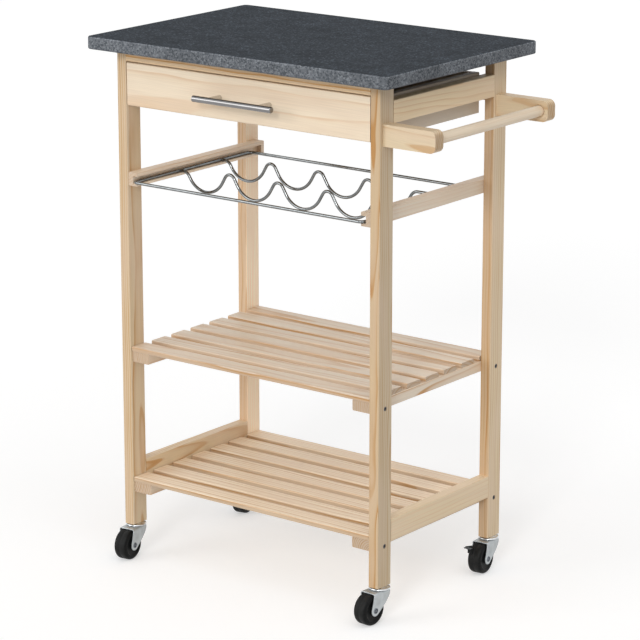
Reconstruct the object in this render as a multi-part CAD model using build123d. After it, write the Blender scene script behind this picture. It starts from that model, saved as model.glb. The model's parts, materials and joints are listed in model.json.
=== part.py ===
from build123d import *
import os
from math import cos, radians, sin, tan

# Kitchen island cart, in millimetres. X runs along the front to the right, Y to the back, Z up.

# Stone worktop
total_height = 850
top_length = 576
top_depth = 392
top_thickness = 20
top_corner_radius = 9
top_arris = 2.5
top_side_overhang = 34.5
top_end_overhang = 33

# Legs, flat boards that stand with their narrow edge to the front
leg_thickness = 18
leg_depth = 33
wood_arris = 1.5

# Rails between the legs
front_rail_height = 18
rail_thickness = 18
side_rail_height = 34.5
side_rail_drop = 27.5
back_rail_height = 34
back_rail_drop = 38.5
end_rail_height = 35.5
end_rail_base = 123.5

# Drawer
drawer_front_height = 67.4
drawer_front_thickness = 16
drawer_reveal = 2
drawer_right_reveal = 0.5
drawer_back_gap = 27
drawer_side_thickness = 12
drawer_side_height = 63.4
drawer_bottom_thickness = 4
drawer_bottom_rise = 8
panel_groove_depth = 5
runner_height = 14
runner_thickness = 7.8
runner_setback = 2
runner_screw_spacing = 180

# Bar pull
pull_length = 152
pull_diameter = 10
pull_standoff = 30
pull_post_spacing = 96
pull_post_diameter = 8.5
pull_end_chamfer = 1
pull_screw_depth = 10

# Towel rail
arm_reach = 93.5
arm_height = 33
arm_thickness = 20
arm_drop = 59
arm_corner_radius = 10
towel_diameter = 17
towel_seat_depth = 12
towel_seat_bevel = 1.6

# Bottle rack rails
rack_rail_base = 615
rack_rail_height = 22
rack_rail_thickness = 18
rack_rail_front_setback = 2
rack_rail_back_setback = 8
rack_groove_rise = 4.2
rack_groove_height = 11.8
rack_groove_depth = 9
rack_groove_stop = 7
rack_screw_inset = 10

# Bottle rack, bent from round wire
wire_diameter = 5
rack_back_gap = 20
rack_proud = 1.5
rack_side_play = 1.5
rack_corner_radius = 8
wave_spacing = 103.5
cradle_count = 4
cradle_pitch = 96.5
cradle_drop = 34.4
cradle_slope = 59
first_cradle_inset = 53.5
crest_rise = 6
crest_radius = 10.5
wave_end_radius = 15

# Slatted shelves
mid_shelf_top = 353.5
low_shelf_top = 136.5
slat_count = 7
slat_width = 34
slat_setback = 2
slat_thickness = 8
slat_end_gap = 1
slat_arris = 2
cleat_width = 34
cleat_height = 17
cleat_setback = 2

# Wooden dowels and screws
dowel_diameter = 6
dowel_length = 28
slab_pin_depth = 12
screw_diameter = 4
screw_length = 19
screw_head_diameter = 7.2
screw_head_height = 2.6
screw_recess = 3

# Casters
wheel_diameter = 49
wheel_width = 23
wheel_shoulder = 5
wheel_dish = 1.5
hub_diameter = 14
hub_proud = 0.5
rim_depth = 6.5
caster_trail = 24.8
sheet = 1.6
crown_gap = 0.8
fork_gap = 0.5
fork_back = 11
fork_front = 27.5
fork_knee_radius = 8
fork_knee_drop = 10
fork_foot_radius = 8.7
race_diameter = 34
race_rim_height = 1.6
race_top_diameter = 22
race_height = 4
stem_diameter = 9
stem_length = 40
king_pin_diameter = 8
king_pin_head_diameter = 14
king_pin_head_height = 2.5
axle_diameter = 6
axle_head_diameter = 9.2
axle_head_height = 1.2
swivel_at_rest = {"front_left": 6.5, "front_right": -4, "back_left": 12, "back_right": 5}

# Foot brake on the back casters, a side arm with a tab in front of the wheel
brake_pin_diameter = 4
brake_pin_forward = 25
brake_pin_rise = 12
brake_boss_diameter = 10
brake_arm_height = 4
brake_tab_forward = 45
brake_tab_rise = 8
brake_tab_length = 6.5
brake_tab_angle = 10
brake_tab_inner_x = 3
brake_pad_length = 4.5
brake_pad_width = 7
brake_pad_height = 7
brake_pad_gap = 2

# Clearances
running_gap = 0.3
pin_clearance = 0.05
hole_clearance = 0.1

# Levels, faces and centre lines that follow from the sizes above
fork_top = wheel_diameter + crown_gap + sheet
race_bottom = fork_top + running_gap
leg_bottom = race_bottom + race_height
top_underside = total_height - top_thickness
frame_length = top_length - 2 * top_side_overhang
frame_depth = top_depth - 2 * top_end_overhang
side_x = frame_length / 2
inner_x = side_x - leg_thickness
leg_x = side_x - leg_thickness / 2
front_y = -frame_depth / 2
inner_y = frame_depth / 2 - leg_depth
leg_y = frame_depth / 2 - leg_depth / 2

drawer_top = top_underside - front_rail_height - drawer_reveal
drawer_base = drawer_top - drawer_front_height
drawer_x = inner_x - drawer_reveal
drawer_inner_x = drawer_x - drawer_side_thickness
drawer_inner_y = front_y + drawer_front_thickness
drawer_back_y = frame_depth / 2 - rail_thickness - drawer_back_gap
panel_base = drawer_base + drawer_bottom_rise
panel_top = panel_base + drawer_bottom_thickness
side_rail_top = top_underside - side_rail_drop
runner_z = side_rail_top - side_rail_height / 2
runner_x = inner_x - runner_thickness
pull_y = front_y - pull_standoff
pull_z = drawer_base + drawer_front_height / 2

arm_top = top_underside - arm_drop
arm_z = arm_top - arm_height / 2
arm_end = side_x + arm_reach
towel_x = arm_end - arm_height / 2
towel_end_y = leg_y - arm_thickness / 2 + towel_seat_depth

rack_rail_x = inner_x - rack_rail_thickness
rack_groove_x = rack_rail_x + rack_groove_depth
rack_groove_z = rack_rail_base + rack_groove_rise
rack_rail_front = front_y + rack_rail_front_setback
rack_rail_back = frame_depth / 2 - rack_rail_back_setback
wire_radius = wire_diameter / 2
rack_x = rack_groove_x - rack_side_play - wire_radius
rack_z = rack_groove_z + running_gap + wire_radius
rack_front_y = front_y - rack_proud
rack_back_y = rack_rail_back - rack_groove_stop - rack_back_gap - wire_radius
crest_z = rack_z + crest_rise
valley_z = crest_z - cradle_drop

shelf_depth = frame_depth - 2 * slat_setback
slat_pitch = (shelf_depth - slat_width) / (slat_count - 1)
wheel_radius = wheel_diameter / 2
fork_inner_x = wheel_width / 2 + hub_proud + fork_gap
fork_x = fork_inner_x + sheet
brake_arm_x = fork_x + running_gap
brake_pin_z = wheel_radius + brake_pin_rise
brake_tab_z = brake_pin_z + brake_tab_rise

# The origin stands on the floor below the middle of the whole cart
right_reach = max(top_length / 2, arm_end)
front_reach = max(top_depth / 2, -pull_y + pull_diameter / 2)
origin = Pos((top_length / 2 - right_reach) / 2, (front_reach - top_depth / 2) / 2, 0)


def block(x, y, z):
    """A square box between two values on each axis."""
    centre = Pos((x[0] + x[1]) / 2, (y[0] + y[1]) / 2, (z[0] + z[1]) / 2)
    return centre * Box(x[1] - x[0], y[1] - y[0], z[1] - z[0])


def board(x, y, z, grain, arris=wood_arris):
    """A planed board whose four long edges, along the grain, are eased."""
    plank = block(x, y, z)
    return fillet(plank.edges().filter_by(grain), arris)


def rod(start, direction, diameter, length):
    """A round bar from a point along a direction."""
    seat = Plane(origin=start, z_dir=direction)
    return seat * Cylinder(diameter / 2, length, align=(Align.CENTER, Align.CENTER, Align.MIN))


def between(low, high):
    return (min(low, high), max(low, high))


# Fasteners: wooden dowels between the boards, and screws with sunk heads
def dowel(middle, direction, extra=0):
    start = Vector(middle) - Vector(direction) * (dowel_length + 2 * extra) / 2
    return rod(start, direction, dowel_diameter + 2 * extra, dowel_length + 2 * extra)


def screw(face_point, direction):
    head_start = Vector(face_point) + Vector(direction) * (screw_recess - screw_head_height)
    head_end = Vector(face_point) + Vector(direction) * screw_recess
    head = rod(head_start, direction, screw_head_diameter, screw_head_height)
    return head + rod(head_end, direction, screw_diameter, screw_length)


def screw_hole(face_point, direction):
    recess = rod(face_point, direction, screw_head_diameter + 2 * hole_clearance, screw_recess)
    shank_length = screw_recess + screw_length + running_gap
    return recess + rod(face_point, direction, screw_diameter + 2 * hole_clearance, shank_length)


dowel_seats = []
screw_seats = []
for side in (-1, 1):
    for end in (-1, 1):
        slab_pin_z = top_underside + slab_pin_depth - dowel_length / 2
        dowel_seats.append(((side * leg_x, end * leg_y, slab_pin_z), (0, 0, 1)))
        dowel_seats.append(((side * leg_x, end * inner_y, runner_z), (0, 1, 0)))
        end_rail_z = end_rail_base + end_rail_height / 2
        dowel_seats.append(((side * leg_x, end * inner_y, end_rail_z), (0, 1, 0)))
        for shelf_top in (mid_shelf_top, low_shelf_top):
            cleat_z = shelf_top - slat_thickness - cleat_height / 2
            screw_seats.append(((side * side_x, end * leg_y, cleat_z), (-side, 0, 0)))
        rack_screw_y = end * (inner_y + rack_screw_inset)
        rack_screw_z = rack_groove_z + rack_groove_height / 2
        screw_seats.append(((side * rack_groove_x, rack_screw_y, rack_screw_z), (side, 0, 0)))
        runner_screw_y = end * runner_screw_spacing / 2
        screw_seats.append(((side * runner_x, runner_screw_y, runner_z), (side, 0, 0)))
    front_rail_y = front_y + rail_thickness / 2
    front_rail_z = top_underside - front_rail_height / 2
    dowel_seats.append(((side * inner_x, front_rail_y, front_rail_z), (1, 0, 0)))
    back_rail_y = frame_depth / 2 - rail_thickness / 2
    back_rail_z = top_underside - back_rail_drop - back_rail_height / 2
    dowel_seats.append(((side * inner_x, back_rail_y, back_rail_z), (1, 0, 0)))
    dowel_seats.append(((side_x, side * leg_y, arm_z), (1, 0, 0)))

joint_dowels = [dowel(*seat) for seat in dowel_seats]
frame_screws = [screw(*seat) for seat in screw_seats]
drillings = [dowel(*seat, hole_clearance) for seat in dowel_seats]
drillings += [screw_hole(*seat) for seat in screw_seats]


def drilled(piece):
    """The piece with every dowel and screw hole that reaches it."""
    room = piece.bounding_box()
    reached = [hole for hole in drillings if room.overlaps(hole.bounding_box())]
    return piece - reached if reached else piece


# Worktop and frame
def worktop():
    outline = RectangleRounded(top_length, top_depth, top_corner_radius)
    slab = Pos(0, 0, top_underside) * extrude(outline, top_thickness)
    rims = slab.edges().group_by(Axis.Z)
    return drilled(fillet(rims[0] + rims[-1], top_arris))


def leg(side, end):
    x = between(side * inner_x, side * side_x)
    y = between(end * inner_y, end * frame_depth / 2)
    upright = board(x, y, (leg_bottom, top_underside), Axis.Z)
    stem_bore = stem_diameter + 2 * pin_clearance
    bore = rod((side * leg_x, end * leg_y, leg_bottom), (0, 0, 1), stem_bore, stem_length + running_gap)
    return drilled(upright - bore)


def front_top_rail():
    y = (front_y, front_y + rail_thickness)
    return drilled(board((-inner_x, inner_x), y, (top_underside - front_rail_height, top_underside), Axis.X))


def back_rail():
    y = (frame_depth / 2 - rail_thickness, frame_depth / 2)
    top = top_underside - back_rail_drop
    return drilled(board((-inner_x, inner_x), y, (top - back_rail_height, top), Axis.X))


def side_rail(side, base, height):
    x = between(side * inner_x, side * side_x)
    return drilled(board(x, (-inner_y, inner_y), (base, base + height), Axis.Y))


# Drawer and its runners
def drawer_runner(side):
    x = between(side * inner_x, side * runner_x)
    y = (drawer_inner_y + runner_setback, frame_depth / 2 - rail_thickness)
    z = (runner_z - runner_height / 2, runner_z + runner_height / 2)
    return drilled(block(x, y, z))


def panel_groove():
    """The slot for the drawer bottom, cut into the front and both sides."""
    reach_x = drawer_inner_x + panel_groove_depth
    y = (drawer_inner_y - panel_groove_depth, drawer_back_y)
    return block((-reach_x, reach_x), y, (panel_base - hole_clearance, panel_top + hole_clearance))


def drawer_front():
    x = (-drawer_x, inner_x - drawer_right_reveal)
    front = board(x, (front_y, drawer_inner_y), (drawer_base, drawer_top), Axis.X, slat_arris)
    screw_bore = screw_diameter + 2 * hole_clearance
    bores = [
        rod((side * pull_post_spacing / 2, front_y, pull_z), (0, 1, 0), screw_bore, drawer_front_thickness)
        for side in (-1, 1)
    ]
    return front - panel_groove() - bores


def drawer_side(side):
    x = between(side * drawer_inner_x, side * drawer_x)
    z = (drawer_base, drawer_base + drawer_side_height)
    wall = board(x, (drawer_inner_y, drawer_back_y), z, Axis.Y)
    runner_half = runner_height / 2 + running_gap
    slot_x = between(side * (runner_x - running_gap), side * drawer_x)
    slot = block(slot_x, (drawer_inner_y, drawer_back_y), (runner_z - runner_half, runner_z + runner_half))
    return wall - panel_groove() - slot


def drawer_back():
    x = (-drawer_inner_x, drawer_inner_x)
    z = (panel_top, drawer_base + drawer_side_height)
    return board(x, (drawer_back_y - drawer_side_thickness, drawer_back_y), z, Axis.X)


def drawer_bottom():
    reach_x = drawer_inner_x + panel_groove_depth - running_gap
    y = (drawer_inner_y - panel_groove_depth + running_gap, drawer_back_y)
    return block((-reach_x, reach_x), y, (panel_base, panel_top))


def pull_bar():
    bar = rod((-pull_length / 2, pull_y, pull_z), (1, 0, 0), pull_diameter, pull_length)
    return chamfer(bar.edges().filter_by(GeomType.CIRCLE), pull_end_chamfer)


def pull_post(side):
    x = side * pull_post_spacing / 2
    post = rod((x, front_y, pull_z), (0, -1, 0), pull_post_diameter, pull_standoff)
    saddle = rod((x - pull_post_diameter, pull_y, pull_z), (1, 0, 0),
                 pull_diameter + 2 * pin_clearance, 2 * pull_post_diameter)
    bore = rod((x, front_y, pull_z), (0, -1, 0), screw_diameter + 2 * pin_clearance,
               pull_screw_depth + running_gap)
    return post - saddle - bore


def pull_screw(side):
    head_seat = (side * pull_post_spacing / 2, drawer_inner_y, pull_z)
    head = rod(head_seat, (0, 1, 0), screw_head_diameter, screw_head_height)
    return head + rod(head_seat, (0, -1, 0), screw_diameter, drawer_front_thickness + pull_screw_depth)


# Towel rail
def towel_arm(end):
    y = (end * leg_y - arm_thickness / 2, end * leg_y + arm_thickness / 2)
    arm = block((side_x, arm_end), y, (arm_z - arm_height / 2, arm_top))
    arm = fillet(arm.edges().filter_by(Axis.Y).sort_by(Axis.X)[2:], arm_corner_radius)
    seat_face = (towel_x, end * (leg_y - arm_thickness / 2), arm_z)
    seat = rod(seat_face, (0, end, 0), towel_diameter + 2 * running_gap, towel_seat_depth)
    bevel = Plane(origin=seat_face, z_dir=(0, end, 0)) * Cone(
        towel_diameter / 2 + running_gap + towel_seat_bevel,
        towel_diameter / 2 + running_gap,
        towel_seat_bevel,
        align=(Align.CENTER, Align.CENTER, Align.MIN),
    )
    return drilled(arm - seat - bevel)


def towel_dowel():
    length = 2 * (towel_end_y - running_gap)
    bar = rod((towel_x, -length / 2, arm_z), (0, 1, 0), towel_diameter, length)
    return chamfer(bar.edges().filter_by(GeomType.CIRCLE), wood_arris)


# Bottle rack and the grooved rails that it slides in
def rack_rail(side):
    x = between(side * rack_rail_x, side * inner_x)
    rail = board(x, (rack_rail_front, rack_rail_back), (rack_rail_base, rack_rail_base + rack_rail_height),
                 Axis.Y)
    groove_x = between(side * rack_rail_x, side * rack_groove_x)
    groove_z = (rack_groove_z, rack_groove_z + rack_groove_height)
    groove = block(groove_x, (rack_rail_front, rack_rail_back - rack_groove_stop), groove_z)
    return drilled(rail - groove)


def bent_wire(points, radii):
    path = FilletPolyline(*points, radius=radii)
    section = (path ^ 0) * Circle(wire_radius)
    return sweep(section, path=path)


def rack_cross_wire(y, inward):
    """The front or back wire of the rack's frame, bent round into its sides."""
    turn_y = y + inward * rack_corner_radius
    points = [(-rack_x, turn_y, rack_z), (-rack_x, y, rack_z), (rack_x, y, rack_z), (rack_x, turn_y, rack_z)]
    bend = rack_corner_radius - hole_clearance
    return bent_wire(points, [bend, bend])


def rack_side_wire(side):
    start_y = rack_front_y + rack_corner_radius
    length = rack_back_y - rack_corner_radius - start_y
    return rod((side * rack_x, start_y, rack_z), (0, 1, 0), wire_diameter, length)


def wave_wire(y):
    """A wire bent into a wave whose valleys each cradle a bottle, butted to the side wires."""
    slope = radians(cradle_slope)
    radius_sum = (cradle_pitch / 2 * sin(slope) - cradle_drop * cos(slope)) / (1 - cos(slope))
    valley_radius = radius_sum - crest_radius
    sharp = 1 / cos(slope) - 1
    valley_point_z = valley_z - valley_radius * sharp
    crest_point_z = crest_z + crest_radius * sharp
    end_x = rack_x - wire_radius - pin_clearance
    turn = (rack_z - valley_point_z) / tan(slope)
    first_valley = -rack_x + first_cradle_inset
    last_valley = first_valley + (cradle_count - 1) * cradle_pitch
    points = [(-end_x, y, rack_z), (first_valley - turn, y, rack_z)]
    radii = [wave_end_radius]
    for cradle in range(cradle_count):
        valley_x = first_valley + cradle * cradle_pitch
        points.append((valley_x, y, valley_point_z))
        radii.append(valley_radius)
        if cradle < cradle_count - 1:
            points.append((valley_x + cradle_pitch / 2, y, crest_point_z))
            radii.append(crest_radius)
    points += [(last_valley + turn, y, rack_z), (end_x, y, rack_z)]
    radii.append(wave_end_radius)
    return bent_wire(points, radii)


# Slatted shelves
def shelf_slats(shelf_top):
    reach_x = inner_x - slat_end_gap
    slats = []
    for slat in range(slat_count):
        y = slat * slat_pitch - shelf_depth / 2
        z = (shelf_top - slat_thickness, shelf_top)
        slats.append(board((-reach_x, reach_x), (y, y + slat_width), z, Axis.X, slat_arris))
    return slats


def cleat(side, shelf_top):
    x = between(side * inner_x, side * (inner_x - cleat_width))
    reach_y = shelf_depth / 2 - cleat_setback
    top = shelf_top - slat_thickness
    return drilled(board(x, (-reach_y, reach_y), (top - cleat_height, top), Axis.Y))


# Casters, drawn about the swivel axis with the wheel trailing to the front
def caster_race():
    """Stem, saucer-shaped race and king pin, turned as one piece."""
    pin_head_top = fork_top - sheet - running_gap
    pin_head_bottom = pin_head_top - king_pin_head_height
    half = Polyline(
        (0, pin_head_bottom),
        (king_pin_head_diameter / 2, pin_head_bottom),
        (king_pin_head_diameter / 2, pin_head_top),
        (king_pin_diameter / 2, pin_head_top),
        (king_pin_diameter / 2, race_bottom),
        (race_diameter / 2, race_bottom),
        (race_diameter / 2, race_bottom + race_rim_height),
        (race_top_diameter / 2, leg_bottom),
        (stem_diameter / 2, leg_bottom),
        (stem_diameter / 2, leg_bottom + stem_length),
        (0, leg_bottom + stem_length),
        close=True,
    )
    return revolve(Plane.XZ * make_face(half), Axis.Z)


def caster_fork(braked):
    """A pressed fork: a crown plate and two tapered cheeks, with a pin hole where there is a brake."""
    knee = Pos(fork_back - fork_knee_radius, fork_top - fork_knee_drop) * Circle(fork_knee_radius)
    foot = Pos(-caster_trail, wheel_radius) * Circle(fork_foot_radius)
    crown = Line((-fork_front, fork_top), (fork_back, fork_top))
    cheek = make_hull(crown.edges() + knee.edges() + foot.edges())
    solid = extrude(Plane.YZ * cheek, fork_x, both=True)
    inside = block(
        (-fork_inner_x, fork_inner_x), (-caster_trail - wheel_diameter, fork_back + wheel_diameter),
        (0, fork_top - sheet),
    )
    crown_edges = solid.edges().filter_by(Axis.Y).group_by(Axis.Z)[-1]
    fork = fillet(crown_edges, sheet) - inside
    fork -= rod((0, 0, fork_top - sheet), (0, 0, 1), king_pin_diameter + 2 * pin_clearance, sheet)
    fork -= rod((-fork_x, -caster_trail, wheel_radius), (1, 0, 0),
                axle_diameter + 2 * pin_clearance, 2 * fork_x)
    if braked:
        fork -= rod((-fork_x, -brake_pin_forward, brake_pin_z), (1, 0, 0),
                    brake_pin_diameter + 2 * pin_clearance, sheet)
    return fork


def caster_axle():
    """A rivet with a flange outside each cheek."""
    half_length = fork_x + axle_head_height
    start = (-half_length, -caster_trail, wheel_radius)
    shaft = rod(start, (1, 0, 0), axle_diameter, 2 * half_length)
    heads = [
        rod((side * fork_x, -caster_trail, wheel_radius), (side, 0, 0), axle_head_diameter, axle_head_height)
        for side in (-1, 1)
    ]
    return shaft + heads


def caster_wheel():
    """A turned wheel with round shoulders, dished sides and a proud hub."""
    half_width = wheel_width / 2
    bore_radius = axle_diameter / 2 + pin_clearance
    rim_radius = wheel_radius - rim_depth
    right = [
        (half_width + hub_proud, bore_radius),
        (half_width + hub_proud, hub_diameter / 2),
        (half_width - wheel_dish, hub_diameter / 2),
        (half_width - wheel_dish, rim_radius - wheel_dish),
        (half_width, rim_radius),
        (half_width, wheel_radius),
    ]
    left = [(-x, r) for x, r in reversed(right)]
    profile = make_face(Polyline(*right, *left, close=True))
    shoulders = profile.vertices().group_by(Axis.Y)[-1]
    profile = fillet(shoulders, wheel_shoulder)
    return Pos(0, -caster_trail, wheel_radius) * revolve(profile, Axis.X)


def brake_lever():
    """A side arm on a pin through the left cheek, bent across into a tab in front of the wheel."""
    tab_root = Vector(-brake_tab_forward, brake_tab_z)
    boss = Pos(-brake_pin_forward, brake_pin_z) * Circle(brake_boss_diameter / 2)
    bend = Pos(tab_root) * Circle(brake_arm_height / 2)
    arm = extrude(Plane.YZ.offset(-brake_arm_x) * make_hull(boss.edges() + bend.edges()), -sheet)
    blade = trace(PolarLine(tab_root, brake_tab_length, 180 - brake_tab_angle), sheet)
    tab_width = brake_arm_x + sheet - brake_tab_inner_x
    tab = extrude(Plane.YZ.offset(-brake_tab_inner_x) * blade, -tab_width)
    pin = rod((-brake_arm_x, -brake_pin_forward, brake_pin_z), (1, 0, 0),
              brake_pin_diameter, running_gap + sheet)
    return arm + tab + pin


def brake_pad():
    """A rubber wedge under the tab, hollowed to the wheel's curve."""
    rise = tan(radians(brake_tab_angle))
    below = sheet / 2 / cos(radians(brake_tab_angle))
    front = brake_tab_forward + brake_pad_length
    root_z = brake_tab_z - below
    front_z = root_z + rise * brake_pad_length
    wedge = make_face(Polyline(
        (-brake_tab_forward, root_z),
        (-front, front_z),
        (-front, front_z - brake_pad_height),
        (-brake_tab_forward, front_z - brake_pad_height),
        close=True,
    ))
    wedge -= Pos(-caster_trail, wheel_radius) * Circle(wheel_radius + brake_pad_gap)
    return extrude(Plane.YZ.offset(-brake_tab_inner_x) * wedge, -brake_pad_width)


# Every piece under its name, each a list of separate solids
pieces = {
    "worktop": [worktop()],
    "front_top_rail": [front_top_rail()],
    "back_rail": [back_rail()],
    "drawer_front": [drawer_front()],
    "drawer_back": [drawer_back()],
    "drawer_bottom": [drawer_bottom()],
    "pull_bar": [pull_bar()],
    "pull_posts": [pull_post(-1), pull_post(1)],
    "pull_screws": [pull_screw(-1), pull_screw(1)],
    "front_towel_arm": [towel_arm(-1)],
    "back_towel_arm": [towel_arm(1)],
    "towel_dowel": [towel_dowel()],
    "rack_front_wire": [rack_cross_wire(rack_front_y, 1)],
    "rack_back_wire": [rack_cross_wire(rack_back_y, -1)],
    "front_wave_wire": [wave_wire(-wave_spacing / 2)],
    "back_wave_wire": [wave_wire(wave_spacing / 2)],
    "mid_shelf_slats": shelf_slats(mid_shelf_top),
    "low_shelf_slats": shelf_slats(low_shelf_top),
    "joint_dowels": joint_dowels,
    "frame_screws": frame_screws,
}
for side, hand in ((-1, "left"), (1, "right")):
    pieces[f"{hand}_upper_side_rail"] = [side_rail(side, side_rail_top - side_rail_height, side_rail_height)]
    pieces[f"{hand}_end_rail"] = [side_rail(side, end_rail_base, end_rail_height)]
    pieces[f"{hand}_drawer_runner"] = [drawer_runner(side)]
    pieces[f"drawer_{hand}_side"] = [drawer_side(side)]
    pieces[f"{hand}_rack_rail"] = [rack_rail(side)]
    pieces[f"rack_{hand}_wire"] = [rack_side_wire(side)]
    pieces[f"{hand}_mid_cleat"] = [cleat(side, mid_shelf_top)]
    pieces[f"{hand}_low_cleat"] = [cleat(side, low_shelf_top)]
    for end, place in ((-1, "front"), (1, "back")):
        corner = f"{place}_{hand}"
        stand = Pos(side * leg_x, end * leg_y, 0)
        turned = stand * Rot(0, 0, swivel_at_rest[corner])
        pieces[f"{corner}_leg"] = [leg(side, end)]
        pieces[f"{corner}_race"] = [stand * caster_race()]
        pieces[f"{corner}_fork"] = [turned * caster_fork(place == "back")]
        pieces[f"{corner}_axle"] = [turned * caster_axle()]
        pieces[f"{corner}_wheel"] = [turned * caster_wheel()]
        if place == "back":
            pieces[f"{corner}_brake_lever"] = [turned * brake_lever()]
            pieces[f"{corner}_brake_pad"] = [turned * brake_pad()]

os.makedirs("parts", exist_ok=True)
for name, solids in pieces.items():
    placed = [origin * solid for solid in solids]
    export_step(placed[0] if len(placed) == 1 else Compound(placed), f"parts/{name}.step")
print(len(pieces), "pieces written")
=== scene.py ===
import json
import math

import bmesh
import bpy
from bpy.props import FloatProperty, FloatVectorProperty, PointerProperty
from mathutils import Matrix, Vector


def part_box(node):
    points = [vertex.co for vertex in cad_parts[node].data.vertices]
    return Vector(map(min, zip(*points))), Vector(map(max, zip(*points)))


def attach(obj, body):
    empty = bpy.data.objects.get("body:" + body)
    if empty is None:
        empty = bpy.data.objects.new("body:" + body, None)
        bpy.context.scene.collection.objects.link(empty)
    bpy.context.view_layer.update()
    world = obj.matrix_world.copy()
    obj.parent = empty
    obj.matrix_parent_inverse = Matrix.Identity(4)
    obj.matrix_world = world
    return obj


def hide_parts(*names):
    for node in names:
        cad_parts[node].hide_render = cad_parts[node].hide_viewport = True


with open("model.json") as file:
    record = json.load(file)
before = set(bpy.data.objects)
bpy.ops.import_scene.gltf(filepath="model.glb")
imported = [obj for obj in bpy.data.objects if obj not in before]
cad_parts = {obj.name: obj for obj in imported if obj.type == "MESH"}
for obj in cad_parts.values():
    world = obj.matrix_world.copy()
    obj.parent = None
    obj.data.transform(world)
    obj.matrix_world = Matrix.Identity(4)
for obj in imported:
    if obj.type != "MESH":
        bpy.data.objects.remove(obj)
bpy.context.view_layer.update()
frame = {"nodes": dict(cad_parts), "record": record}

bl_info = {
    "name": "Kitchen cart finishes",
    "version": (1, 0, 0),
    "blender": (4, 5, 0),
    "location": "View3D > Sidebar > Cart",
    "description": "Gives a pine kitchen cart its stone, wood, wire and caster finishes",
    "category": "Object",
}

MM = 0.001
CORNERS = ("front_left", "front_right", "back_left", "back_right")
# points of a new mesh that are nearer than this, in metres, become one
WELD = 1e-7
# an edge that turns by more than this stays crisp
CRISP = math.radians(32)
# radius of the bore for a rivet in the wheel and the fork, in millimetres
RIVET_BORE = 3.05


def linear(code):
    """Linear RGB of an sRGB hex colour."""
    parts = [int(code[i:i + 2], 16) / 255 for i in (1, 3, 5)]
    return [p / 12.92 if p <= 0.04045 else ((p + 0.055) / 1.055) ** 2.4 for p in parts]


def tint(name, description, code):
    """A colour that the user can change."""
    return FloatVectorProperty(name=name, description=description, subtype="COLOR", size=3, min=0, max=1,
                               default=linear(code))


def length(name, description, millimetres):
    """A length that the user can change."""
    return FloatProperty(name=name, description=description, unit="LENGTH", min=0, precision=4,
                         default=millimetres * MM)


class WoodSettings(bpy.types.PropertyGroup):
    pale: tint("Pale pine", "Early wood of the palest boards", "#f0dec4")
    honey: tint("Honey pine", "Early wood of the warmer boards", "#e0cba9")
    rose: tint("Rosy pine", "Early wood of the cleats, rack rails, drawer sides and middle slats", "#e6d7c3")
    soft_ring: tint("Soft ring", "Late wood of the boards with faint rings", "#d6aa7c")
    bold_ring: tint("Bold ring", "Late wood of the boards with clear rings", "#c08b4a")
    blush: tint("Blush", "Slow pink drift across a board", "#e2c9ae")
    ply: tint("Plywood", "Face of the drawer's plywood bottom", "#d9bf98")
    fibre: length("Fibre width", "Width of one fine streak across the grain", 1.3)
    wave: length("Grain wave", "Length of one slow bend of the year rings", 190)
    slat_pitch: length("Slat pitch", "Spacing of the shelf slats, so that each gets its own grain", 48)


class StoneSettings(bpy.types.PropertyGroup):
    # the top's body is darker than the sawn edges of the same stone: painted shade for the dark surroundings
    # that the top reflects
    painted_shade: tint("Honed top", "Body of the honed top", "#3b4046")
    sawn: tint("Sawn edge", "Body of the lighter edges", "#6c7075")
    salt: tint("Salt", "Pale grains", "#82868b")
    pepper: tint("Pepper", "Dark grains", "#54585d")
    grain: length("Grain", "Size of one mineral grain", 2.3)


class MetalSettings(bpy.types.PropertyGroup):
    # the bar's steel is darker than real stainless: painted shade, for the dark surroundings that it reflects
    steel: tint("Bar steel", "Brushed stainless steel of the bar pull", "#868585")
    post: tint("Post steel", "Paler stainless steel of the pull's posts and screws", "#cdcac5")
    # the wires' chrome is far darker than real chrome: painted shade, for the dark surroundings that it
    # reflects
    wire: tint("Wire plating", "Chrome on the rack's wires", "#7f8283")
    race: tint("Race plating", "Bright chrome on the caster races", "#dadcde")
    zinc: tint("Zinc", "Plating on the forks", "#bdc2c4")
    # the rivets are darker than their zinc plating: painted shade, for the shade in the sunk ring round each
    # mandrel
    rivet: tint("Rivet", "Dull plating on the wheel rivets", "#7b8086")
    screw: tint("Screw", "Dull plating on the frame's screws", "#77787a")
    lever: tint("Lever", "Black zinc on the brake levers", "#4a4c4d")
    brush: length("Brush line", "Spacing of the brushed lines", 0.9)


class CasterSettings(bpy.types.PropertyGroup):
    rubber: tint("Black rubber", "Wheels and brake pads", "#0d0e0e")
    # the grey is floor dust in the scuffs, and on the tread partly floor dust and partly painted sheen
    dust_and_sheen: tint("Floor dust", "Grey film on the tread", "#3c3c3b")
    wheel_radius: length("Wheel radius", "From the axle to the tread", 24.5)
    wheel_width: length("Wheel width", "Across the tread", 23)
    hub_radius: length("Hub radius", "Boss beside the fork", 7)
    shoulder: length("Shoulder", "Round between the tread and the side of a wheel", 5)
    rivet_length: length("Rivet length", "Over both rolled lips", 30.6)
    fork_width: length("Fork width", "Over both cheeks", 28.2)
    sheet: length("Fork sheet", "Thickness of the pressed sheet", 1.6)


class StageSettings(bpy.types.PropertyGroup):
    azimuth: FloatProperty(name="Azimuth", description="Turn of the camera from the front to the right",
                           subtype="ANGLE", default=math.radians(37.56))
    elevation: FloatProperty(name="Elevation", description="Height of the camera as an angle",
                             subtype="ANGLE", default=math.radians(15.13))
    distance: FloatProperty(name="Distance", description="From the camera to its target", unit="LENGTH",
                            default=4.634)
    target: FloatVectorProperty(name="Target", description="Point that the camera looks at",
                                subtype="TRANSLATION", default=(-0.01176, 0.001, 0.40435))
    lens: FloatProperty(name="Lens", description="Focal length in millimetres", min=1, default=165.8)
    floor: tint("Floor", "Pale studio floor", "#d9d9d9")


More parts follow.
